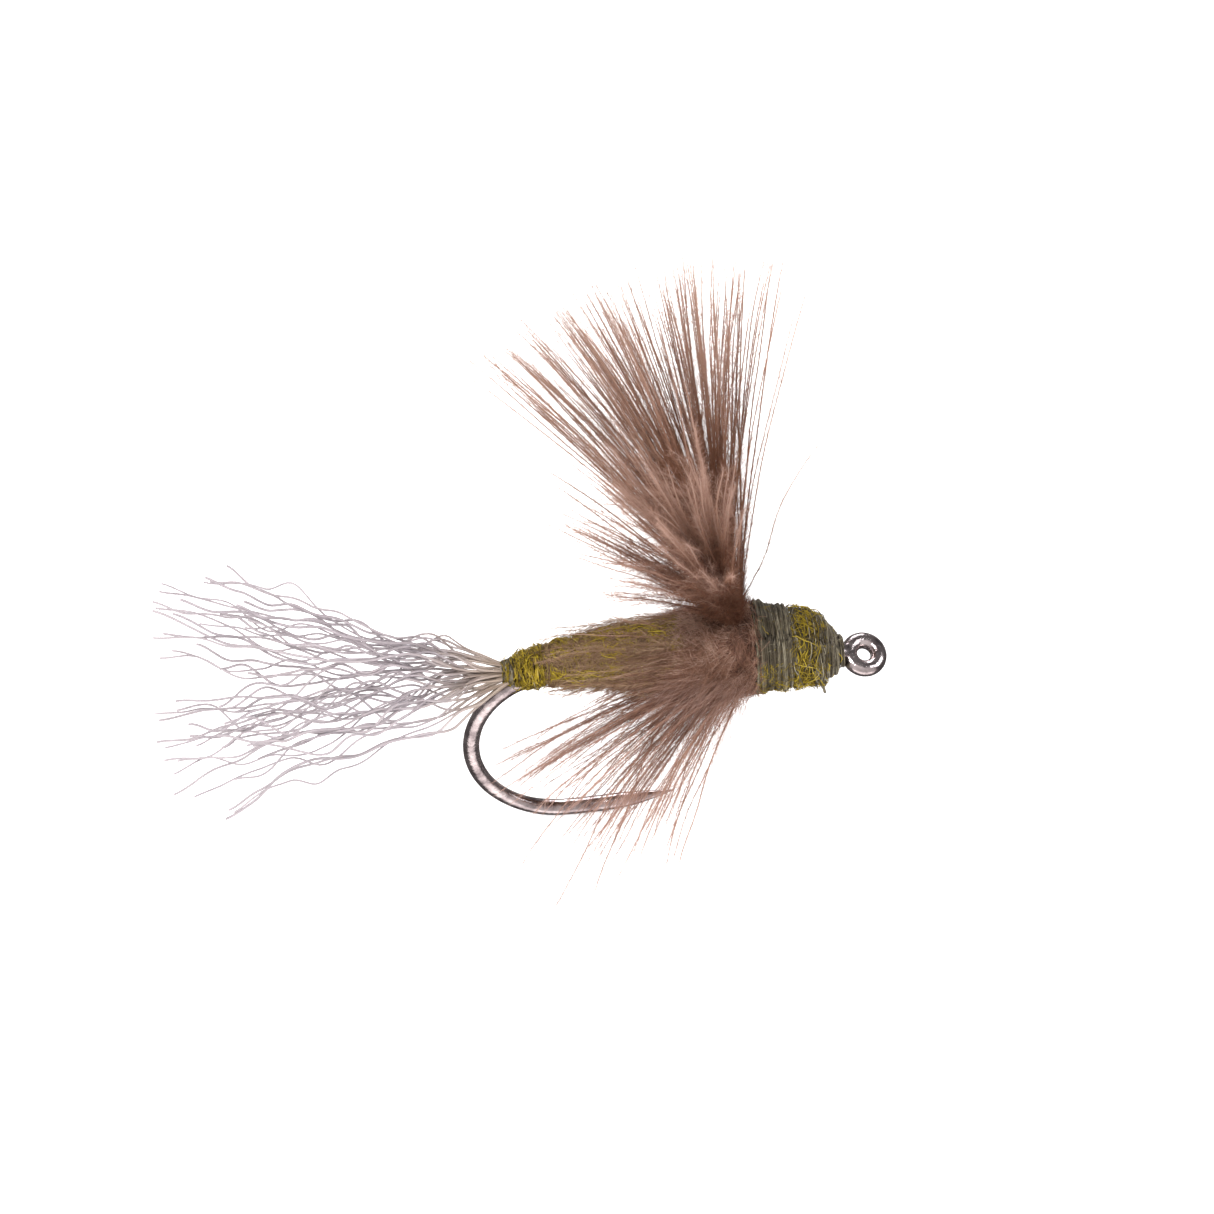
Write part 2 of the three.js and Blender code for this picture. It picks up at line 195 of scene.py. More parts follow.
class Fibres:
    """Collects tapered tubes and slivers, and makes one mesh of them."""

    def __init__(self):
        self.verts, self.quads, self.tris, self.tint, self.along = [], [], [], [], []
        self.count = 0

    def add(self, verts, faces, kind, tint, along):
        self.verts.append(verts)
        getattr(self, kind).append(faces + self.count)
        self.tint.append(tint)
        self.along.append(along)
        self.count += len(verts)

    def tubes(self, paths, radii, sides=3, tint=None):
        """paths is fibre, step, xyz; radii is fibre, step; tint is fibre or fibre, step."""
        n, k, _ = paths.shape
        tangent = unit(np.gradient(paths, axis=1))
        helper = np.where(np.abs(tangent[..., 1:2]) < 0.8, ACROSS, UP)
        side = unit(np.cross(tangent, helper))
        other = np.cross(tangent, side)
        turn = np.arange(sides) * TURN / sides
        ring = (side[:, :, None] * np.cos(turn)[:, None]
                + other[:, :, None] * np.sin(turn)[:, None])
        verts = paths[:, :, None] + ring * radii[:, :, None, None]
        one = grid_faces(k, sides)
        quads = (one[None] + np.arange(n)[:, None, None] * k * sides).reshape(-1, 4)
        shade = (rng.random(n) if tint is None else np.asarray(tint)).reshape(n, -1)
        along = np.broadcast_to(np.linspace(0, 1, k)[None, :, None], (n, k, sides))
        shade = np.repeat(np.broadcast_to(shade, (n, k)).reshape(-1), sides)
        self.add(verts.reshape(-1, 3), quads, "quads", shade, along.reshape(-1))

    def slivers(self, roots, tips, width, tint, along):
        """Barbules: a narrow triangle from each root to its tip."""
        n = len(roots)
        side = unit(np.cross(tips - roots, rng.normal(size=(n, 3)))) * (width / 2)
        verts = np.stack([roots - side, roots + side, tips], axis=1).reshape(-1, 3)
        self.add(verts, np.arange(3 * n).reshape(n, 3), "tris",
                 np.repeat(np.broadcast_to(tint, (n,)), 3),
                 np.repeat(np.broadcast_to(along, (n,)), 3))

    def make(self, name):
        faces = [np.concatenate(f) for f in (self.quads, self.tris) if f]
        return mesh_object(name, np.concatenate(self.verts), faces, {
            "tint": np.concatenate(self.tint), "along": np.concatenate(self.along)})


def bezier(p0, p1, p2, steps):
    t = np.linspace(0, 1, steps)[None, :, None]
    return (1 - t) ** 2 * p0[:, None] + 2 * t * (1 - t) * p1[:, None] + t ** 2 * p2[:, None]


def wander(n, steps, size, waves=3):
    """A smooth sideways wobble for each fibre, nothing at its root."""
    t = np.linspace(0, 1, steps)[None, :, None]
    total = np.zeros((n, steps, 3))
    for w in range(1, waves + 1):
        phase = rng.random((n, 1, 3)) * TURN
        total += rng.normal(size=(n, 1, 3)) / w * np.sin(w * 5.3 * t + phase)
    return (total - total[:, :1]) * size


STEM_SHADE, BARBULE_SHADE = 0.5, 0.3
STRAY_BARBULES = 0.06
BARB_STEPS = 16


def feather_barbs(fibres, roots, starts, tips, tint, stem, spacing, down, lean, wobble, bare=0.06,
                  width=0.0085):
    """Barbs from roots, leaving along the directions starts, to tips, with their barbules.
    Sizes are in mm. stem is the barb's thickness, down the reach of a barbule and lean how far
    it stands off, each at the barb's root and tip; bare is the part of its tip with none."""
    n, steps = len(roots), BARB_STEPS
    lengths = np.linalg.norm(tips - roots, axis=1)
    paths = bezier(roots, roots + unit(starts) * lengths[:, None] * 0.5, tips, steps)
    paths += wander(n, steps, wobble * MM)
    t = to_tip(steps)
    point = np.minimum(1, 0.25 + (1 - t) * 6)
    radii = (stem[0] + (stem[1] - stem[0]) * t) * point / 2 * MM * np.ones((n, 1))
    shade = np.clip(tint[:, None] - STEM_SHADE * (1 - t) ** 2, 0, 1)
    fibres.tubes(paths, radii * rng.uniform(0.75, 1.2, (n, 1)), 4, shade)
    tangent = unit(np.gradient(paths, axis=1))
    for i in range(n):
        count = int(lengths[i] / (spacing * MM))
        s = rng.random(count) ** 1.25 * (1 - bare)
        at = s * (steps - 1)
        low = at.astype(int)
        mix = (at - low)[:, None]
        root = paths[i, low] * (1 - mix) + paths[i, low + 1] * mix
        forward = tangent[i, low]
        sideways = unit(np.cross(forward, unit(rng.normal(size=(count, 3)))))
        reach = (down[0] + (down[1] - down[0]) * s) * rng.uniform(0.4, 1.2, count) * MM
        stand = (lean[0] + (lean[1] - lean[0]) * s) * rng.uniform(0.2, 1.6, count)
        stand += (rng.random(count) < STRAY_BARBULES) * rng.uniform(0.3, 1.0, count)
        tip = root + unit(forward + sideways * stand[:, None]) * reach[:, None]
        shade = tint[i] + rng.normal(size=count) * 0.12 - BARBULE_SHADE * (1 - s) ** 3
        shade = np.clip(shade, 0, 1)
        fibres.slivers(root, tip, width * MM, shade, s)


def wound_fibres(layer, count, length, radius, proud, wild=0.3, x_range=None, steps=9,
                 angles=(0, TURN), wobble=0.02):
    """Paths and radii of curly fibres that follow the turns round a layer. Sizes in mm."""
    low, high = x_range or (layer.x0, layer.x1)
    x = rng.uniform(low, high, count)
    angle = rng.uniform(*angles, count)
    span = rng.uniform(*length, count) * MM
    t = np.linspace(-0.5, 0.5, steps)[None, :]
    around = span / np.maximum(np.interp(x, layer.x, layer.r), 0.1 * MM)
    a = angle[:, None] + around[:, None] * t
    drift = rng.normal(size=count) * wild * MM + layer.pitch * around / TURN
    xs = np.clip(x[:, None] + drift[:, None] * t, low - 0.05 * MM, high + 0.05 * MM)
    lift = rng.uniform(*proud, count)[:, None] * MM
    loop = np.maximum(0, rng.normal(size=(count, 1))) * 0.035 * MM
    paths = layer.point(xs, a, lift + loop * np.cos(math.pi * t) ** 2)
    paths += wander(count, steps, wobble * MM)
    radii = rng.uniform(*radius, count)[:, None] * MM * (1 - 0.55 * np.abs(2 * t) ** 3)
    return paths, radii


def stray_hairs(layer, count, length, radius, sweep=(0.0, 0.4), steps=6, angles=(0, TURN),
                curl=0.05):
    """Short hairs that stand off a layer. sweep is how far they lean back. Sizes in mm."""
    x = rng.uniform(layer.x0, layer.x1, count)
    angle = rng.uniform(*angles, count)
    root = layer.point(x, angle, -0.03 * MM)
    out, around = spokes(angle)
    heading = unit(out - ALONG * rng.uniform(*sweep, count)[:, None]
                   + around * rng.normal(size=(count, 1)) * 0.8)
    reach = rng.uniform(*length, count)[:, None] * MM
    bend = rng.normal(size=(count, 3)) * 0.4
    paths = bezier(root, root + heading * reach * 0.6, root + unit(heading + bend) * reach, steps)
    paths += wander(count, steps, curl * MM)
    return paths, rng.uniform(*radius, count)[:, None] * MM * (1 - 0.6 * to_tip(steps))


def layer_skin(name, layer, rings, sides, shrink=0.0, lumps=0.0, seed=5):
    """The closed skin of a layer. Sizes are in mm."""
    waves = np.random.default_rng(seed).normal(size=(7, 3))
    x = np.linspace(layer.x0, layer.x1, rings)[:, None]
    angle = np.linspace(0, TURN, sides, endpoint=False)[None, :]
    lump = sum(w[0] * np.sin(w[1] * 4 * x / MM + (k % 4 + 1) * angle + 3 * w[2])
               for k, w in enumerate(waves)) / 7
    edge = np.clip(np.minimum(x - layer.x0, layer.x1 - x) / (0.1 * MM), 0, 1)
    r = layer.radius(x, angle) - shrink * MM + lumps * MM * lump
    r = r * (0.8 + 0.2 * np.sqrt(edge))
    across = r * np.cos(angle)
    rings_xyz = np.stack([x + 0 * across, across, layer.axis(x) + r * np.sin(angle)], axis=-1)
    return mesh_object(name, *capped(rings_xyz[:, ::-1]))


# ---- materials ----
def linear(r, g, b):
    return tuple((c / 255 / 12.92) if c <= 10 else ((c / 255 + 0.055) / 1.055) ** 2.4
                 for c in (r, g, b)) + (1.0,)


class Look:
    """A node material in the making."""

    def __init__(self, name, roughness, metallic=0.0, **sockets):
        self.material = bpy.data.materials.new(name)
        self.material.use_nodes = True
        self.nodes = self.material.node_tree.nodes
        self.links = self.material.node_tree.links
        self.shader = self.nodes["Principled BSDF"]
        self.shader.inputs["Roughness"].default_value = roughness
        self.shader.inputs["Metallic"].default_value = metallic
        for key, value in sockets.items():
            self.shader.inputs[key.replace("_", " ")].default_value = value
        self.place = self.node("ShaderNodeTexCoord").outputs["Object"]

    def node(self, kind, **settings):
        n = self.nodes.new(kind)
        for key, value in settings.items():
            setattr(n, key, value)
        return n

    def plug(self, socket, value):
        if isinstance(value, bpy.types.NodeSocket):
            self.links.new(value, socket)
        else:
            socket.default_value = value

    def noise(self, size, detail=3.0):
        """Noise with features of about size mm."""
        mapping = self.node("ShaderNodeMapping")
        mapping.inputs["Scale"].default_value = (1 / (size * MM),) * 3
        self.links.new(self.place, mapping.inputs["Vector"])
        n = self.node("ShaderNodeTexNoise")
        n.inputs["Scale"].default_value = 1.0
        n.inputs["Detail"].default_value = detail
        self.links.new(mapping.outputs[0], n.inputs["Vector"])
        return n.outputs["Fac"]

    def attribute(self, name):
        return self.node("ShaderNodeAttribute", attribute_name=name).outputs["Fac"]

    def ramp(self, factor, *stops):
        r = self.node("ShaderNodeValToRGB")
        elements = r.color_ramp.elements
        while len(elements) < len(stops):
            elements.new(0.5)
        for e, (at, colour) in zip(elements, stops):
            e.position = at
            e.color = colour
        self.links.new(factor, r.inputs["Fac"])
        return r.outputs["Color"]

    def mix(self, factor, a, b):
        m = self.node("ShaderNodeMix", data_type="RGBA")
        for socket, value in ((m.inputs[0], factor), (m.inputs[6], a), (m.inputs[7], b)):
            self.plug(socket, value)
        return m.outputs[2]

    def blend(self, first, second, share):
        """Two 0..1 patterns in one, share of it from the second."""
        m = self.node("ShaderNodeMix", data_type="FLOAT")
        m.inputs[0].default_value = share
        self.links.new(first, m.inputs[2])
        self.links.new(second, m.inputs[3])
        return m.outputs[0]

    def colour(self, output):
        self.links.new(output, self.shader.inputs["Base Color"])

    def roughness(self, factor, low, high):
        r = self.node("ShaderNodeMapRange")
        r.inputs["To Min"].default_value = low
        r.inputs["To Max"].default_value = high
        self.links.new(factor, r.inputs["Value"])
        self.links.new(r.outputs[0], self.shader.inputs["Roughness"])

    def bump(self, height, depth, strength=0.6):
        b = self.node("ShaderNodeBump")
        b.inputs["Strength"].default_value = strength
        b.inputs["Distance"].default_value = depth * MM
        self.links.new(height, b.inputs["Height"])
        self.links.new(b.outputs[0], self.shader.inputs["Normal"])


def steel():
    look = Look("dark_hook_steel", 0.12, 1.0)
    # The steel's colour drifts in blotches from darker to paler: painted reflection, standing in
    # for the mottled reflection of the surroundings along the wire.
    look.colour(look.ramp(look.noise(0.35, 5), (0.3, linear(128, 118, 119)),
                          (0.5, linear(178, 168, 168)), (0.72, linear(216, 206, 205))))
    look.roughness(look.noise(0.06, 4), 0.14, 0.3)
    look.bump(look.noise(0.14, 4), 0.022, 0.6)
    return look.material


def fibre_look(name, *stops, patch=0.5, share=0.4, rough=(0.5, 0.75), tips=None, grain=0.02,
               **sockets):
    """Each fibre has its own shade, and the shades drift in patches of patch mm. tips gives
    the colour of the tips, where along the fibre it starts and ends, and how strong it is."""
    look = Look(name, rough[0], Specular_IOR_Level=0.35, **sockets)
    patches = look.noise(patch, 3)
    both = look.blend(look.attribute("tint"), patches, share)
    colour = look.ramp(both, *stops)
    if tips:
        reach = look.node("ShaderNodeMapRange")
        for key, value in zip(("From Min", "From Max", "To Max"), tips[1:]):
            reach.inputs[key].default_value = value
        look.links.new(look.attribute("along"), reach.inputs["Value"])
        colour = look.mix(reach.outputs[0], colour, tips[0])
    look.colour(colour)
    look.roughness(patches, *rough)
    look.bump(look.noise(grain, 2), 0.003, 0.4)
    return look.material


def core_look(name, dark, pale, size):
    """The surface seen between fibres."""
    look = Look(name, 0.9)
    grain = look.noise(size, 5)
    look.colour(look.ramp(grain, (0.3, dark), (0.7, pale)))
    look.roughness(grain, 0.8, 0.95)
    look.bump(grain, 0.05, 0.8)
    return look.material


def cement_look():
    look = Look("clear_head_cement", 0.25, Alpha=0.28, Specular_IOR_Level=0.8)
    flow = look.noise(0.25, 2)
    look.colour(look.ramp(flow, (0.3, linear(84, 76, 62)), (0.7, linear(124, 114, 98))))
    look.roughness(flow, 0.15, 0.35)
    look.bump(flow, 0.02, 0.3)
    return look.material


STEEL = steel()
DOWN = fibre_look("brown_down", (0.1, linear(80, 47, 30)), (0.45, linear(122, 81, 58)),
                  (0.85, linear(170, 131, 108)), patch=0.8,
                  tips=(linear(194, 162, 147), 0.42, 1.0, 0.7))
LEG_DOWN = fibre_look("leg_down", (0.1, linear(98, 66, 50)), (0.45, linear(142, 106, 88)),
                      (0.85, linear(184, 150, 134)), patch=0.7,
                      tips=(linear(184, 154, 144), 0.35, 1.0, 0.6))
COLLAR_DOWN = fibre_look("collar_down", (0.2, linear(92, 60, 44)), (0.42, linear(136, 98, 78)),
                         (0.64, linear(168, 130, 110)), (0.85, linear(212, 180, 162)), patch=0.4)
VEIL_DOWN = fibre_look("veil_down", (0.2, linear(112, 86, 62)), (0.5, linear(150, 120, 94)),
                       (0.85, linear(182, 154, 128)), patch=0.4)
BRIGHT = fibre_look("bright_dubbing", (0.25, linear(76, 62, 22)), (0.42, linear(132, 112, 30)),
                    (0.56, linear(162, 140, 30)), (0.74, linear(186, 162, 48)),
                    (0.95, linear(204, 186, 124)), patch=0.2, share=0.5, rough=(0.45, 0.7))
OLIVE = fibre_look("olive_dubbing", (0.25, linear(98, 76, 54)), (0.45, linear(138, 112, 82)),
                   (0.58, linear(158, 132, 92)), (0.68, linear(170, 150, 66)),
                   (0.9, linear(196, 174, 134)), patch=0.35, share=0.55)
THREAD = fibre_look("tying_thread", (0.1, linear(36, 30, 22)), (0.38, linear(76, 68, 52)),
                    (0.62, linear(116, 108, 88)), (0.85, linear(178, 170, 148)), patch=0.16,
                    share=0.3, rough=(0.35, 0.6), grain=0.012)
YARN = fibre_look("shuck_yarn", (0.2, linear(150, 132, 116)), (0.5, linear(172, 155, 140)),
                  (0.8, linear(196, 180, 166)), patch=1.2, rough=(0.2, 0.42), grain=0.04,
                  tips=(linear(188, 182, 192), 0.06, 0.3, 0.75), Transmission_Weight=0.25, IOR=1.5)
# The quill and the thread end have their own colours. The other skins are painted shade: they are
# darker than their fibres and stand in for the shade deep among the dubbing, the down and the
# thread.
QUILL = core_look("pale_quill", linear(120, 92, 70), linear(170, 138, 112), 0.1)
OLIVE_PAINTED_SHADE = core_look("olive_core", linear(54, 42, 22), linear(92, 76, 34), 0.12)
BRIGHT_PAINTED_SHADE = core_look("bright_core", linear(44, 38, 14), linear(84, 74, 24), 0.1)
DOWN_PAINTED_SHADE = core_look("down_core", linear(72, 46, 34), linear(110, 78, 62), 0.12)
THREAD_END = core_look("thread_end", linear(88, 80, 62), linear(140, 132, 112), 0.05)
THREAD_PAINTED_SHADE = core_look("thread_core", linear(40, 35, 27), linear(66, 58, 46), 0.06)
CEMENT = cement_look()


def piece(obj, material, slot_name, body, *nodes):
    obj.data.materials.clear()
    obj.data.materials.append(material)
    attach(obj, body)
    if nodes:
        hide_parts(*nodes)


def tube_piece(name, material, slot_name, paths, radii, sides=3, tint=None, body=BODY, nodes=()):
    """One piece made of one bunch of tubes."""
    fibres = Fibres()
    fibres.tubes(paths, radii, sides, tint)
    piece(fibres.make(name), material, slot_name, body, *nodes)


# ---- hook: one smooth wire from the needle point to the ring of the eye ----
POINT_LEG = 2.9 * MM
POINT_RISE = 0.32 * MM
POINT_TAPER = 1.7 * MM
POINT_TIP, POINT_GROWTH = 0.015 * MM, 0.2 * MM
FORGED_FROM, FORGED_EASE = 0.6 * MM, 0.9 * MM
LEG_START = -math.pi * BEND_RADIUS
HOOK_END = LEG_START - POINT_LEG
SHANK_LENGTH = 7.43 * MM
EYE_RING = 0.79 * MM
EYE_WIRE = 0.43 * MM
EYE_CENTRE = np.array([BEND_X + 7.83 * MM, 0, SHANK_Z - 0.15 * MM])
EYE_TURN = Matrix.Rotation(math.radians(10), 3, "Y") @ Matrix.Rotation(math.radians(24), 3, "X")


def wire_at(distance):
    """Centre and outward direction of the wire, positive along the shank from the bend."""
    if distance >= 0:
        return np.array([BEND_X + distance, 0, SHANK_Z]), UP
    turn = min(-distance / BEND_RADIUS, math.pi)
    out = np.array([-math.sin(turn), 0, math.cos(turn)])
    centre = np.array([BEND_X, 0, SHANK_Z - BEND_RADIUS]) + BEND_RADIUS * out
    extra = LEG_START - distance
    if extra > 0:
        centre = centre + np.array([extra, 0, POINT_RISE * (extra / POINT_LEG) ** 2])
        slope = 2 * POINT_RISE * extra / POINT_LEG ** 2
        out = -unit(np.array([-slope, 0, 1.0]))
    return centre, out


def build_hook():
    distances = np.concatenate([
        np.linspace(HOOK_END, HOOK_END + POINT_TAPER, 26),
        np.linspace(HOOK_END + POINT_TAPER, LEG_START, 12)[1:],
        np.linspace(LEG_START, 0, 110)[1:],
        np.linspace(0, SHANK_LENGTH, 24)[1:]])
    angle = np.linspace(0, TURN, 32, endpoint=False)[:, None]
    rings = []
    for d in distances:
        centre, out = wire_at(d)
        taper = min(1.0, (d - HOOK_END) / POINT_TAPER)
        r = POINT_TIP + POINT_GROWTH * math.sin(taper * math.pi / 2)
        edge = min(d - LEG_START - FORGED_FROM, -FORGED_FROM - d) / FORGED_EASE
        limit = r + min(0.0, FORGED / 2 - r) * min(1.0, max(0.0, edge))
        rings.append(centre + ACROSS * limit * np.cos(angle) + out * r * np.sin(angle))
    verts, faces = capped(np.array(rings))
    major, minor = 72, 28
    u = np.linspace(0, TURN, major, endpoint=False)[:, None]
    v = np.linspace(0, TURN, minor, endpoint=False)[None, :]
    reach = EYE_RING / 2 + EYE_WIRE / 2 * np.cos(v)
    ring = np.stack([reach * np.cos(u), reach * np.sin(u), 0 * u + EYE_WIRE / 2 * np.sin(v)], -1)
    ring = ring.reshape(-1, 3) @ np.array(EYE_TURN).T + EYE_CENTRE
    index = np.arange(major * minor).reshape(major, minor) + len(verts)
    a, b = index, np.roll(index, -1, 0)
    torus = np.stack([a, b, np.roll(b, -1, 1), np.roll(a, -1, 1)], axis=-1).reshape(-1, 4)
    hook = mesh_object("hook_wire", np.concatenate([verts, ring]), [faces[0], torus, faces[1]])
    piece(hook, STEEL, "hook_steel", BODY, "hook")


build_hook()

# ---- the wound layers of the body: node, pitch, depth, seed ----
tail_clump = Layer("tail_dubbing", 0.3, 0.05, 2)
abdomen = Layer("abdomen_dubbing", 0.5, 0.06, 3)
thorax = Layer("thorax_dubbing", 0.26, 0.06, 4)
tail_wraps = Layer("tail_wraps", 0.12, 0.04, 5)
dam = Layer("thorax_wraps", 0.2, 0.1, 6)
head = Layer("head_wraps", 0.16, 0.08, 7)
whip = Layer("whip_finish", 0.08, 0.03, 8)
collar = Layer("feather_collar", 1.0, 0.0, 9)


def dubbed(name, node, layer, looks, slot_name, groups, hairs):
    """A dubbed layer: a dark skin of painted shade, fibres wound round it and strays that stand
    off it.
    """
    piece(layer_skin(name + "_core", layer, 60, 72, 0.05, 0.05), looks[1], slot_name, BODY, node)
    fibres = Fibres()
    for group in groups:
        fibres.tubes(*wound_fibres(layer, **group), 3)
    strays = Fibres()
    for group in hairs:
        strays.tubes(*stray_hairs(layer, **group), 3)
    piece(fibres.make(name + "_fibres"), looks[0], slot_name, BODY)
    piece(strays.make(name + "_strays"), looks[0], slot_name, BODY)


dubbed("tail_clump", "tail_dubbing", tail_clump, (BRIGHT, BRIGHT_PAINTED_SHADE), "bright_dubbing", [
    dict(count=400, length=(0.3, 1.3), radius=(0.009, 0.019), proud=(-0.06, 0.03), wild=0.1),
    dict(count=120, length=(0.2, 0.6), radius=(0.007, 0.013), proud=(0.0, 0.07), wild=0.35)],
    [dict(count=70, length=(0.1, 0.32), radius=(0.005, 0.009))])
dubbed("abdomen", "abdomen_dubbing", abdomen, (OLIVE, OLIVE_PAINTED_SHADE), "olive_dubbing", [
    dict(count=3000, length=(0.3, 1.4), radius=(0.006, 0.013), proud=(-0.07, 0.02), wild=0.3),
    dict(count=900, length=(0.15, 0.6), radius=(0.005, 0.01), proud=(0.0, 0.09), wild=0.6)],
    [dict(count=520, length=(0.06, 0.26), radius=(0.004, 0.007)),
     dict(count=40, length=(0.3, 0.7), radius=(0.004, 0.006), angles=(math.pi, TURN), curl=0.12)])


LOOSE_CURLS = (1.3, 3.4)
PATCH_LENGTH, PATCH_ARC = 0.26 * MM, 0.32


def bright_curls(rows, loose, each):
    """Bright curls that show between the down: rows along both flanks and loose patches.
    A row is its angle up from the flank, its first and last place along x, and its patches."""
    places = []
    for up, first, last, patches in rows:
        for x in np.linspace(first, last, patches):
            for angle in (up, math.pi - up):
                places.append((x + rng.normal() * 0.03, angle + rng.normal() * 0.09))
    for _ in range(loose):
        places.append((rng.uniform(*LOOSE_CURLS), rng.uniform(0.2, math.pi - 0.2)))
    fibres = Fibres()
    for x, angle in places:
        at = abdomen.x0 + x * MM
        fibres.tubes(*wound_fibres(
            abdomen, int(each * rng.uniform(0.5, 1.5)), (0.12, 0.5), (0.007, 0.013), (0.0, 0.08),
            0.9, x_range=(at - PATCH_LENGTH / 2, at + PATCH_LENGTH / 2),
            angles=(angle - PATCH_ARC / 2, angle + PATCH_ARC / 2)), 3)
    piece(fibres.make("abdomen_curls"), BRIGHT, "olive_dubbing", BODY)


bright_curls([(1.2, 0.35, 1.7, 6), (0.2, 0.3, 1.8, 7), (1.35, 2.0, 3.2, 4)], 16, 22)
dubbed("thorax_band", "thorax_dubbing", thorax, (BRIGHT, BRIGHT_PAINTED_SHADE), "bright_dubbing", [
    dict(count=460, length=(0.25, 1.1), radius=(0.009, 0.017), proud=(-0.09, 0.02), wild=0.3),
    dict(count=170, length=(0.15, 0.5), radius=(0.008, 0.013), proud=(0.0, 0.05), wild=0.5)],
    [dict(count=60, length=(0.1, 0.3), radius=(0.005, 0.008))])


# ---- thread ----
FILAMENT_TURNS = (0.12, 0.6)
LOOSE_FILAMENTS = 0.22
CORE_RINGS = 14


def threaded(name, node, layer, count, hairs):
    """Rounded turns of thread: a ridged skin, dark as painted shade, under fine filaments that
    follow the turns.
    """
    rings = int((layer.x1 - layer.x0) / layer.pitch * CORE_RINGS) + 6
    piece(layer_skin(name + "_core", layer, rings, 96, 0.012), THREAD_PAINTED_SHADE, "thread", BODY, node)
    fibres = Fibres()
    steps = 16
    t = to_tip(steps)
    span = rng.uniform(*FILAMENT_TURNS, count)[:, None] * TURN
    angle = rng.random(count)[:, None] * TURN + span * t
    start = rng.uniform(layer.x0, layer.x1, count)[:, None]
    drift = rng.normal(size=(count, 1)) * 0.35 * layer.pitch
    x = np.clip(start + (layer.pitch * span / TURN + drift) * (t - 0.5), layer.x0, layer.x1)
    loose = (rng.random((count, 1)) < LOOSE_FILAMENTS) * rng.uniform(0.005, 0.035, (count, 1)) * MM
    proud = rng.uniform(-0.006, 0.006, (count, 1)) * MM + loose * np.sin(math.pi * t)
    radii = rng.uniform(0.005, 0.0105, (count, 1)) * MM * np.ones((1, steps))
    # Filaments low in the grooves get dark tints and those on top of the turns get pale ones:
    # painted shade in the grooves, painted highlight on the turns.
    painted_light_height = layer.height(x, angle).mean(axis=1)
    tint = np.clip(0.75 * painted_light_height + rng.normal(size=count) * 0.2, 0, 1)
    fibres.tubes(layer.point(x, angle, proud), radii, 3, tint)
    fibres.tubes(*stray_hairs(layer, hairs, (0.08, 0.3), (0.003, 0.006), (-0.3, 0.6)), 3)
    piece(fibres.make(name + "_turns"), THREAD, "thread", BODY)


threaded("tail_binding", "tail_wraps", tail_wraps, 260, hairs=12)
threaded("thorax_binding", "thorax_wraps", dam, 1900, hairs=240)
threaded("head_binding", "head_wraps", head, 480, hairs=60)
threaded("whip_turns", "whip_finish", whip, 70, hairs=4)

UNDERSIDE = (math.pi * 0.9, math.pi * 1.75)
caught = Fibres()
caught.tubes(*wound_fibres(dam, 330, (0.1, 0.4), (0.005, 0.009), (-0.03, 0.03), 0.3,
                           angles=UNDERSIDE), 3)
caught.tubes(*wound_fibres(dam, 60, (0.1, 0.4), (0.006, 0.011), (-0.03, 0.01), 0.3), 3)
caught.tubes(*wound_fibres(tail_wraps, 60, (0.15, 0.6), (0.007, 0.012), (-0.02, 0.03), 0.1), 3)
caught.tubes(*wound_fibres(head, 26, (0.1, 0.4), (0.006, 0.01), (-0.02, 0.02), 0.1), 3)
piece(caught.make("caught_dubbing"), BRIGHT, "bright_dubbing", BODY)

crossing = Fibres()
FRONT_TURNS = (thorax.x0 + 0.55 * MM, thorax.x1 + 0.02 * MM)
REAR_TURNS = (thorax.x0, thorax.x0 + 0.08 * MM)
crossing.tubes(*wound_fibres(thorax, 330, (0.4, 1.8), (0.007, 0.012), (-0.01, 0.03), 0.1,
                             x_range=FRONT_TURNS, steps=14), 3)
crossing.tubes(*wound_fibres(thorax, 60, (0.4, 1.4), (0.007, 0.012), (-0.02, 0.02), 0.1,
                             x_range=REAR_TURNS, steps=14), 3)
crossing.tubes(*wound_fibres(thorax, 46, (0.8, 2.2), (0.009, 0.014), (-0.03, 0.03), 0.35,
                             steps=14), 3)
crossing.tubes(*wound_fibres(tail_clump, 16, (0.6, 1.4), (0.008, 0.012), (-0.03, 0.02), 0.2), 3)
piece(crossing.make("crossing_thread"), THREAD, "thread", BODY)

# ---- collar, veil and legs ----
# The collar's dark skin is painted shade, seen between the hairs.
piece(layer_skin("collar_core", collar, 60, 72, 0.16, 0.16, 3), DOWN_PAINTED_SHADE, "feather_down", BODY,
      "feather_collar")


TUFT_LENGTH, TUFT_ARC = 0.3 * MM, 0.28
PAINTED_HIGHLIGHT_TUFTS = 0.22


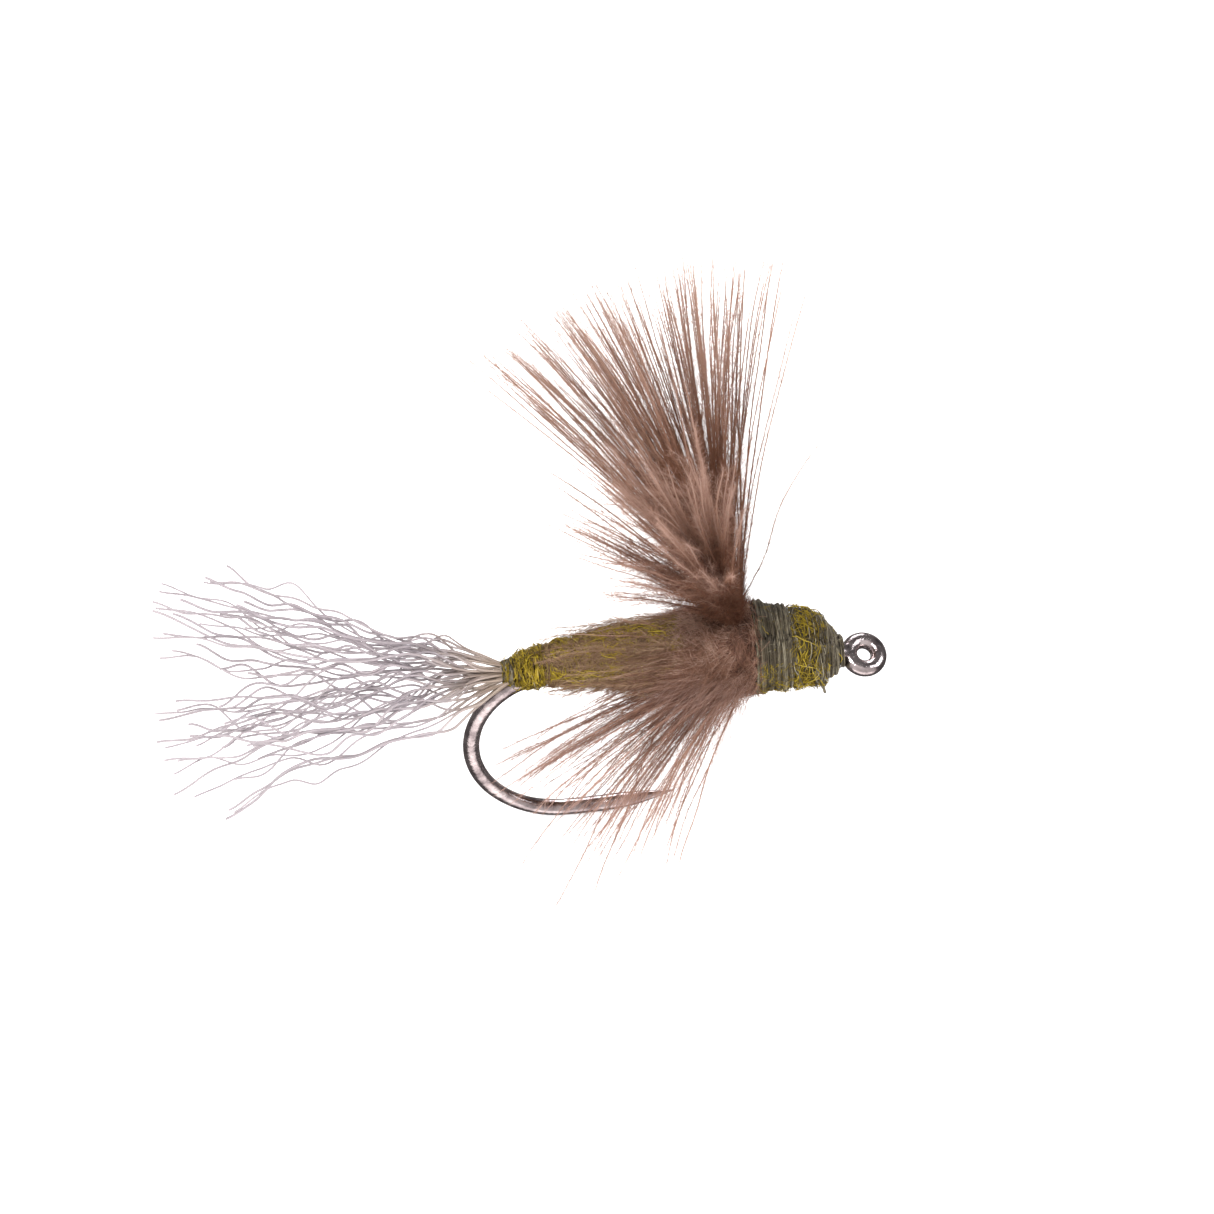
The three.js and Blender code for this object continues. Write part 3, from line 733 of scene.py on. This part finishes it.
def collar_hair(count, tufts):
    """Combed down: hairs that lie in tufts, each tuft with a heading and a shade of its own; the
    palest tufts are painted highlights.
    """
    tuft_x = rng.uniform(collar.x0 - 0.5 * MM, collar.x1 + 0.02 * MM, tufts)
    tuft_angle = rng.random(tufts) * TURN
    heading = rng.normal(size=tufts) * 0.8
    back = rng.uniform(0.3, 1.3, tufts)
    # A share of the tufts are much paler: painted highlights, standing in for light caught on the
    # swirls of the down.
    shade = rng.normal(size=tufts) * 0.2 + 0.38 + 0.62 * (rng.random(tufts) < PAINTED_HIGHLIGHT_TUFTS)
    shade = np.clip(shade, 0, 1)
    x = rng.uniform(collar.x0 - 0.45 * MM, collar.x1 + 0.06 * MM, count)
    angle = rng.random(count) * TURN
    gap_x = (x[:, None] - tuft_x[None, :]) / TUFT_LENGTH
    gap_a = np.angle(np.exp(1j * (angle[:, None] - tuft_angle[None, :]))) / TUFT_ARC
    near = np.argmin(gap_x ** 2 + gap_a ** 2, axis=1)
    root = collar.point(np.clip(x, collar.x0, collar.x1), angle, -0.16 * MM)
    root[:, 0] = x
    out, around = spokes(angle)
    lie = unit(-ALONG * (back[near] + rng.normal(size=count) * 0.25)[:, None]
               + around * (heading[near] + rng.normal(size=count) * 0.35)[:, None])
    reach = rng.uniform(0.25, 0.95, count)[:, None] * MM
    middle = root + lie * reach * 0.45 + out * rng.uniform(0.04, 0.16, count)[:, None] * MM
    tip = root + lie * reach + out * rng.uniform(-0.06, 0.1, count)[:, None] * MM
    paths = bezier(root, middle, tip, 6) + wander(count, 6, 0.02 * MM)
    radii = rng.uniform(0.004, 0.008, count)[:, None] * MM * (1 - 0.55 * to_tip(6))
    tint = np.clip(shade[near] + rng.normal(size=count) * 0.18, 0, 1)
    low = root[:, 2] < collar.axis(x)
    for word, part in (("lower", low), ("upper", ~low)):
        tube_piece("collar_hair_" + word, COLLAR_DOWN, "feather_down", paths[part], radii[part],
                   tint=tint[part])
    tube_piece("collar_strays", COLLAR_DOWN, "feather_down",
               *stray_hairs(collar, 900, (0.12, 0.42), (0.003, 0.005), (-0.5, 0.9)))


def ruff(count):
    """Down that stands over the first turns in front of the collar."""
    x = rng.uniform(dam.x0 - 0.12 * MM, dam.x0 + 0.12 * MM, count)
    angle = rng.random(count) * TURN
    root = dam.point(np.maximum(x, dam.x0), angle, -0.04 * MM)
    root[:, 0] = x
    out, around = spokes(angle)
    lie = unit(-ALONG * rng.uniform(-0.25, 0.9, (count, 1)) + around * rng.normal(size=(count, 1))
               + out * 0.2)
    reach = rng.uniform(0.15, 0.5, (count, 1)) * MM
    paths = bezier(root, root + (lie + out * 0.5) * reach * 0.5, root + lie * reach, 6)
    radii = rng.uniform(0.004, 0.007, (count, 1)) * MM * (1 - 0.5 * to_tip(6))
    tube_piece("collar_ruff", COLLAR_DOWN, "feather_down", paths, radii)


collar_hair(8000, 110)
ruff(900)


def beard(name, count, angles, front, lift, reaches, look):
    """Long down that sweeps back from the collar. front is the part of the collar it grows
    on, lift how far it stands off, and reaches its shortest and longest length in mm."""
    x = rng.uniform(collar.x0 - 0.1 * MM, collar.x0 + front * (collar.x1 - collar.x0), count)
    angle = rng.uniform(*angles, count)
    root = collar.point(np.clip(x, collar.x0, collar.x1), angle, -0.1 * MM)
    out = spokes(angle)[0]
    share = (x - collar.x0) / (collar.x1 - collar.x0)
    back = unit(-ALONG * (1.9 - 1.3 * share + rng.normal(size=count) * 0.2)[:, None]
                + out * lift - UP * 0.2)
    reach = (reaches[0] + rng.random(count) ** 2 * reaches[1])[:, None] * MM
    bent = unit(back + rng.normal(size=(count, 3)) * 0.22 * lift)
    paths = bezier(root, root + back * reach * 0.5, root + bent * reach, 8)
    paths += wander(count, 8, 0.035 * MM)
    radii = rng.uniform(0.0035, 0.006, count)[:, None] * MM * (1 - 0.5 * to_tip(8))
    tube_piece(name, look, "feather_down", paths, radii)


beard("collar_beard", 2600, (math.pi * 0.95, math.pi * 2.05), 1.0, 1.0, (0.3, 1.7), LEG_DOWN)
beard("flank_down_near", 500, (math.pi * 0.72, math.pi * 1.1), 0.3, 0.08, (0.5, 2.0), COLLAR_DOWN)
beard("flank_down_far", 350, (-math.pi * 0.1, math.pi * 0.28), 0.3, 0.08, (0.5, 2.0), COLLAR_DOWN)


VEIL_SPACING = 0.016 * MM


def veil(side, word, count):
    """Fine barbs that lie back along the abdomen, close to its skin and mostly low on it."""
    fibres = Fibres()
    strip = rng.random(count)
    angle = np.where(strip < 0.45, rng.uniform(-1.3, -0.1, count), rng.normal(0.68, 0.13, count))
    angle = np.where(strip > 0.85, rng.uniform(0.9, 1.5, count), angle)
    angle = np.where(side > 0, angle, math.pi - angle)
    start = collar.x0 + rng.uniform(0.0, 0.9, count) * MM
    length = rng.uniform(1.2, 4.1, count) * MM
    steps = 14
    t = to_tip(steps)
    x = start[:, None] - length[:, None] * t
    a = angle[:, None] + rng.normal(size=(count, 1)) * 0.3 * t
    rise = (rng.random((count, 1)) ** 4) * 0.4 * t ** 2 + 0.02 + 0.05 * rng.random((count, 1))
    paths = abdomen.point(np.maximum(x, abdomen.x0), a, rise * MM)
    paths[..., 0] = x
    paths += wander(count, steps, 0.045 * MM)
    tint = rng.random(count)
    fibres.tubes(paths, (0.012 - 0.006 * t) / 2 * MM * np.ones((count, 1)), 3, tint)
    tangent = unit(np.gradient(paths, axis=1))
    for i in range(count):
        m = int(length[i] / VEIL_SPACING)
        k = rng.integers(0, steps - 1, m)
        root = paths[i, k] + (paths[i, k + 1] - paths[i, k]) * rng.random((m, 1))
        sideways = unit(np.cross(tangent[i, k], rng.normal(size=(m, 3))))
        reach = rng.uniform(0.1, 0.4, m)[:, None] * MM
        tip = root + unit(tangent[i, k] + sideways * rng.uniform(0.1, 1.0, (m, 1))) * reach
        shade = np.clip(tint[i] + rng.normal(size=m) * 0.15, 0, 1)
        fibres.slivers(root, tip, 0.0075 * MM, shade, 0.3)
    piece(fibres.make("veil_barbs_" + word), VEIL_DOWN, "feather_down", BODY, "veil_" + word)


veil(-1, "near", 130)
veil(1, "far", 95)


def lone_barbs(barbs):
    """Single barbs that stand clear of the body: x and angle of the root on the abdomen,
    degrees back from upright and to the far side, and length, in mm."""
    x, angle, back, lateral, length = np.array(barbs).T
    roots = abdomen.point(abdomen.x0 + x * MM, np.radians(angle), -0.05 * MM)
    tips = roots + tilt(back, lateral, 1) * length[:, None] * MM
    starts = tips - roots - ALONG * 0.3 * length[:, None] * MM
    fibres = Fibres()
    feather_barbs(fibres, roots, starts, tips, np.full(len(x), 0.75), stem=(0.02, 0.014),
                  spacing=0.04, down=(0.3, 0.15), lean=(0.5, 0.6), wobble=0.05, width=0.006)
    piece(fibres.make("lone_barbs"), LEG_DOWN, "feather_down", BODY)


def tilt(back, lateral, side):
    """A direction from degrees back from upright and out to one side."""
    b, s = np.radians(back), np.radians(lateral)
    return np.stack([-np.sin(b), side * np.cos(b) * np.sin(s), np.cos(b) * np.cos(s)], axis=-1)


lone_barbs([(1.9, 100, 52, 30, 4.1), (3.6, 105, 78, -20, 3.6), (3.4, 95, 70, 10, 3.2)])


REARMOST_LEG, LEG_FAN = 76, 52
LEG_SEATS = 1.5 * MM


def legs(side, word, clumps, long, splay, wisps):
    """Barbs splayed down, back and outwards, in clumps; the rearmost lie almost level. wisps
    are single longer barbs: degrees back and outwards, and length."""
    floor_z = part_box("legs_" + word)[0][2]
    place = (np.arange(clumps) + rng.uniform(0.2, 0.8, clumps)) / clumps
    which = np.repeat(np.arange(clumps), rng.integers(3, 6, clumps))
    n = len(which)
    t = place[which]
    back = np.radians(REARMOST_LEG - LEG_FAN * t + rng.normal(size=n) * 2.6
                      + (rng.normal(size=clumps) * 2)[which])
    out = np.radians(rng.uniform(*splay, clumps)[which] + rng.normal(size=n) * 2.5)
    lengths = (rng.uniform(*long, clumps)[which] - rng.random(n) ** 2 * 1.3) * MM
    for k, (wisp_back, wisp_out, wisp_length) in enumerate(wisps):
        back[k], out[k], lengths[k] = *np.radians((wisp_back, wisp_out)), wisp_length * MM
    heading = np.stack([-np.sin(back), side * np.cos(back) * np.sin(out),
                        -np.cos(back) * np.cos(out)], axis=-1)
    root_x = collar.x0 + LEG_SEATS * t + rng.normal(size=n) * 0.1 * MM
    seat = -rng.uniform(0.45, 1.4, n)
    roots = collar.point(root_x, np.where(side > 0, seat, math.pi - seat), -0.25 * MM)
    room = (roots[:, 2] - floor_z) / np.maximum(-heading[:, 2], 1e-3) * 0.985
    tips = roots + heading * np.minimum(lengths, room)[:, None]
    starts = unit(heading + np.array([-0.1, 0, 0.22]) * rng.uniform(0.2, 1.2, (n, 1)))
    tint = rng.random(clumps)[which] * 0.7 + rng.random(n) * 0.3
    fibres = Fibres()
    feather_barbs(fibres, roots, starts, tips, tint, stem=(0.03, 0.024), spacing=0.016,
                  down=(0.5, 0.24), lean=(0.6, 0.7), wobble=0.04)
    piece(fibres.make("leg_barbs_" + word), LEG_DOWN, "feather_down", BODY, "legs_" + word)


legs(-1, "near", 21, (4.7, 6.3), (12, 52), [(33, 41, 7.3), (44, 38, 6.8), (27, 38, 6.6)])
legs(1, "far", 17, (3.2, 4.8), (2, 40), [])


# ---- wing: two feathers, whose barbs leave a short stem and fan out ----
STEM_HEIGHT, STEM_RISE = 0.2, 3.0
STEM_WIDTH = 30
SIDEWAYS, LOW_SIDE, HIGH_SIDE = 30, 4, 52


def wing(side, word, clumps, back, lateral, stem_tilt, long, shade, loners=()):
    """One feather of the wing. back is the fan's first and last direction and lateral the mean
    and spread of its tilt to the side, in degrees; long is the barbs' shortest and longest
    length, and loners are single barbs: back, lateral and length."""
    order = ((np.arange(clumps) + rng.random(clumps)) / clumps) ** 0.8
    clump_back = back[0] + (back[1] - back[0]) * order
    clump_side = np.clip(rng.normal(*lateral, clumps), LOW_SIDE + 2, HIGH_SIDE)
    which = np.repeat(np.arange(clumps), rng.integers(2, 6, clumps))
    n = len(which)
    loose = rng.uniform(0.6, 2.4, clumps)[which]
    b = clump_back[which] + rng.normal(size=n) * loose
    s = np.clip(clump_side[which] + rng.normal(size=n) * loose * 1.5, LOW_SIDE, HIGH_SIDE)
    length = rng.uniform(*long, clumps)[which] - rng.random(n) ** 3 * 3.2
    if side < 0:
        length -= np.maximum(0, s - SIDEWAYS) * 0.2
    central = 1 - np.minimum(1, np.abs(b - stem_tilt[0]) / STEM_WIDTH)
    height = rng.random(n) * (STEM_HEIGHT + STEM_RISE * central)
    for lone in loners:
        b, s, length = (np.append(a, v) for a, v in zip((b, s, length), lone))
        height, which = np.append(height, STEM_HEIGHT), np.append(which, 0)
    n = len(b)
    tips = WING_ROOT + tilt(b, s, side) * length[:, None] * MM
    stem = tilt(*stem_tilt, side)
    roots = WING_ROOT + stem * height[:, None] * MM + rng.normal(size=(n, 3)) * 0.08 * MM
    roots[:, 1] = np.where(side * roots[:, 1] > 0, roots[:, 1], -roots[:, 1])
    starts = tilt(stem_tilt[0] + (b - stem_tilt[0]) * 0.8, stem_tilt[1] + (s - stem_tilt[1]) * 0.8,
                  side)
    tint = shade + rng.normal(size=clumps)[which] * 0.12 + rng.normal(size=n) * 0.09
    tint = np.clip(tint, 0, 1)
    fibres = Fibres()
    feather_barbs(fibres, roots, starts, tips, tint, stem=(0.032, 0.028), spacing=0.0135,
                  down=(0.66, 0.34), lean=(0.5, 0.9), bare=0.0, wobble=0.035, width=0.0068)
    piece(fibres.make("wing_barbs_" + word), DOWN, "feather_down", "wing", "wing_feather_" + word)


wing(-1, "near", 36, (2, 38), (25, 9), (14, 24), (7.4, 9.2), 0.4)
wing(1, "far", 56, (-11, 41), (40, 7), (10, 36), (9.0, 9.8), 0.36,
     [(-24, 12, 5.6), (-15, 34, 9.1), (-12, 41, 9.4), (-13.5, 36, 8.2), (44, 34, 9.3),
      (42, 38, 9.6)])


def wing_down(side, word, count):
    """Short soft barbs low on the stem of a wing feather, most of them leaning back."""
    back = rng.uniform(6, 66, count)
    lateral = rng.uniform(6, 40, count)
    reach = (1.6 + 3.6 * rng.random(count) * (0.4 + 0.6 * np.clip(back / 60, 0, 1))) * MM
    stem = tilt(14, 24 if side < 0 else 30, side)
    seat = WING_ROOT + stem * rng.uniform(0.3, 2.2, (count, 1)) * MM
    roots = seat + rng.normal(size=(count, 3)) * 0.1 * MM
    roots[:, 1] = side * np.abs(roots[:, 1])
    tips = roots + tilt(back, lateral, side) * reach[:, None]
    tips[:, 1] = side * np.abs(tips[:, 1])
    starts = tilt(back * 0.3, lateral, side)
    tint = np.clip(0.36 + rng.normal(size=count) * 0.14, 0, 1)
    fibres = Fibres()
    feather_barbs(fibres, roots, starts, tips, tint, stem=(0.014, 0.01), spacing=0.014,
                  down=(0.6, 0.36), lean=(0.7, 0.9), bare=0.0, wobble=0.06, width=0.007)
    piece(fibres.make("wing_down_" + word), DOWN, "feather_down", "wing")


wing_down(-1, "near", 80)
wing_down(1, "far", 60)

# ---- shuck ----
STRAND_KINKS = ((5, 0.22), (10, 0.1))
FIBRE_KINKS = ((11, 0.11), (4, 0.16))
LOCKS = [
    ("shuck_lock_top", (1.5, 1.5), 90, 3, 12), ("shuck_lock_far", (2.3, 0.4), 18, 4, 12),
    ("shuck_lock_near", (-2.2, 0.1), 162, 4, 12), ("shuck_lock_middle", (-0.2, 0.1), 306, 4, 9),
    ("shuck_lock_bottom", (-1.6, -1.7), 234, 3, 10)]


def soft_kinks(count, steps, knots, size):
    """Random offsets at even knots, joined smoothly."""
    at = np.linspace(0, knots - 1, steps)
    low = np.minimum(at.astype(int), knots - 2)
    mix = at - low
    mix = mix * mix * (3 - 2 * mix)
    values = rng.normal(size=(count, knots)) * size
    return values[:, low] * (1 - mix) + values[:, low + 1] * mix


def shuck_lock(node, lean, seat, strands, count, steps=80):
    """Crinkled fibres in strands: those of one strand run together."""
    t = to_tip(steps)
    which = rng.integers(0, strands, count)
    turn = (rng.random(strands) * TURN)[which][:, None]
    wide = np.sqrt(rng.random(strands))[which][:, None]
    spread = rng.normal(size=(count, 2, 1)) * 0.2
    seat_y, seat_z = math.cos(math.radians(seat)), math.sin(math.radians(seat))
    ease = np.minimum(1, 5 * t)
    stretch = rng.uniform(0.6, 1.2, (count, 1))
    offsets = []
    for k, (towards, root) in enumerate(((lean[0], seat_y), (lean[1], seat_z))):
        around = np.cos(turn) if k == 0 else np.sin(turn)
        shared = sum(soft_kinks(strands, steps, *kinks) for kinks in STRAND_KINKS)[which]
        own = sum(soft_kinks(count, steps, *kinks) for kinks in FIBRE_KINKS)
        offsets.append((0.12 * root + 0.15 * wide * around + towards * stretch * t ** 1.15
                        + 1.0 * wide * around * t ** 0.75 + spread[:, k] * t
                        + (shared + own) * ease) * MM)
    length = rng.uniform(6.6, 9.2, count)[:, None]
    x = (0.5 - length * t + soft_kinks(count, steps, 9, 0.04) * ease) * MM
    paths = np.stack([SHUCK_ROOT[0] + x, SHUCK_ROOT[1] + offsets[0], SHUCK_ROOT[2] + offsets[1]],
                     axis=-1)
    radii = rng.uniform(0.025, 0.037, count)[:, None] * MM * np.ones((1, steps))
    tube_piece(node + "_fibres", YARN, "shuck_yarn", paths, radii, 6, body="shuck", nodes=[node])


for lock in LOCKS:
    shuck_lock(*lock)


# ---- butts of the shuck: fibres from its root, up over the shank and along the body ----
def shuck_butts(count, steps=20):
    t = to_tip(steps)
    across, up = rng.normal(size=(2, count, 1)) * 0.055
    x = BEND_X - 1.95 * MM + 4.8 * MM * t + 0 * across
    rise = 0.1 + 0.36 * np.clip(t / 0.2, 0, 1) ** 1.5
    z = SHANK_Z + (rise + up * np.minimum(1, 0.4 + 3 * t)) * MM
    paths = np.stack([x, across * MM + 0 * x, z], axis=-1) + wander(count, steps, 0.012 * MM)
    tube_piece("shuck_butt_fibres", YARN, "shuck_yarn", paths,
               np.full((count, steps), 0.027 * MM), 5, nodes=["shuck_butts"])


shuck_butts(26)

# ---- cement film over the head, and the CAD pieces that keep their shape ----
film = layer_skin("head_cement_film", head, 40, 72, -0.012)
piece(film, CEMENT, "head_cement", BODY, "head_cement")
CARRIED = {"thread_base": THREAD_PAINTED_SHADE, "wing_butts": QUILL, "hackle_quill": QUILL,
           "thread_tag": THREAD_END}
for node, material in CARRIED.items():
    data = frame["nodes"][node].data
    data.materials.clear()
    data.materials.append(material)

# ---- table, light and camera ----
TABLE_HALF = 0.6
TABLE_GAP = 0.02 * MM
floor_mesh = bpy.data.meshes.new("table_top")
floor_mesh.from_pydata([(-TABLE_HALF, -TABLE_HALF, 0), (TABLE_HALF, -TABLE_HALF, 0),
                        (TABLE_HALF, TABLE_HALF, 0), (-TABLE_HALF, TABLE_HALF, 0)], [],
                       [(0, 1, 2, 3)])
floor = bpy.data.objects.new("table_top", floor_mesh)
bpy.context.scene.collection.objects.link(floor)
floor.location.z = cad_box[0][2] - TABLE_GAP
floor.visible_glossy = False
table = Look("white_table", 0.9)
table.colour(table.ramp(table.noise(3.0, 2), (0.3, linear(248, 248, 248)),
                        (0.7, linear(252, 252, 252))))
table.shader.inputs["Emission Color"].default_value = (1, 1, 1, 1)
table.shader.inputs["Emission Strength"].default_value = 0.7
floor_mesh.materials.append(table.material)


BRIGHT_FRONT, LOW_FRONT = (0.85, 0.8, 0.79), (2.1, 1.96, 1.94)
DIM, GLOW, WHITE = (0.16, 0.15, 0.15), (0.6, 0.57, 0.56), (1, 1, 1)


def light_tent():
    """Soft light from in front, brightest low down, and a weak glow from behind. The camera
    sees it as plain white."""
    world = bpy.data.worlds.new("light_tent")
    bpy.context.scene.world = world
    world.use_nodes = True
    nodes, links = world.node_tree.nodes, world.node_tree.links
    split = nodes.new("ShaderNodeSeparateXYZ")
    links.new(nodes.new("ShaderNodeTexCoord").outputs["Generated"], split.inputs[0])

    def fade(axis, start, end):
        m = nodes.new("ShaderNodeMapRange")
        m.interpolation_type = "SMOOTHSTEP"
        m.inputs["From Min"].default_value = start
        m.inputs["From Max"].default_value = end
        links.new(split.outputs[axis], m.inputs["Value"])
        return m.outputs[0]

    def mix(factor, a, b):
        m = nodes.new("ShaderNodeMix")
        m.data_type = "RGBA"
        links.new(factor, m.inputs[0])
        for socket, value in ((m.inputs[6], a), (m.inputs[7], b)):
            if isinstance(value, tuple):
                socket.default_value = value + (1,)
            else:
                links.new(value, socket)
        return m.outputs[2]

    front = mix(fade("Z", -0.2, -0.4), BRIGHT_FRONT, LOW_FRONT)
    glow = mix(fade("Z", -0.5, -0.3), DIM, GLOW)
    glow = mix(fade("Z", 0.15, -0.05), DIM, glow)
    behind = mix(fade("Y", 0.45, 0.7), DIM, glow)
    tone = mix(fade("Y", -0.52, -0.66), behind, front)
    seen = nodes.new("ShaderNodeLightPath").outputs["Is Camera Ray"]
    links.new(mix(seen, tone, WHITE), nodes["Background"].inputs["Color"])


light_tent()


def softbox(name, place, aim, size, power, colour):
    data = bpy.data.lights.new(name, "AREA")
    data.shape = "RECTANGLE"
    data.size, data.size_y = size
    data.energy = power
    data.color = colour
    lamp = bpy.data.objects.new(name, data)
    bpy.context.scene.collection.objects.link(lamp)
    lamp.location = place
    lamp.rotation_euler = (Vector(aim) - Vector(place)).to_track_quat("-Z", "Y").to_euler()


middle = (0.001, 0, SHANK_Z)
softbox("key_softbox", (-0.12, -0.14, 0.26), middle, (0.1, 0.1), 1.0, (1.0, 0.96, 0.94))
softbox("fill_softbox", (0.2, -0.08, 0.16), middle, (0.08, 0.14), 0.35, (0.97, 0.98, 1.0))
softbox("back_softbox", (0.02, 0.24, 0.2), middle, (0.16, 0.1), 0.45, (0.98, 0.97, 1.0))

VIEW_WIDTH = 31.29 * MM
LENS, SENSOR = 150.0, 36.0
AZIMUTH, ELEVATION = math.radians(6.1), math.radians(42)
CENTRE_RIGHT, CENTRE_UP = 1.134 * MM, 1.675 * MM
away = Vector((math.sin(AZIMUTH) * math.cos(ELEVATION), math.cos(AZIMUTH) * math.cos(ELEVATION),
               -math.sin(ELEVATION)))
right = Vector((math.cos(AZIMUTH), -math.sin(AZIMUTH), 0))
upward = right.cross(away)
aim = Vector((BEND_X, 0, SHANK_Z)) + right * CENTRE_RIGHT + upward * CENTRE_UP
camera_data = bpy.data.cameras.new("camera")
camera_data.lens = LENS
camera_data.sensor_width = SENSOR
camera_data.clip_start = 0.005
camera_data.clip_end = 5.0
camera = bpy.data.objects.new("camera", camera_data)
bpy.context.scene.collection.objects.link(camera)
camera.location = aim - away * (VIEW_WIDTH * LENS / SENSOR)
camera.rotation_euler = away.to_track_quat("-Z", "Y").to_euler()
bpy.context.scene.camera = camera
bpy.context.scene.view_settings.view_transform = "Standard"
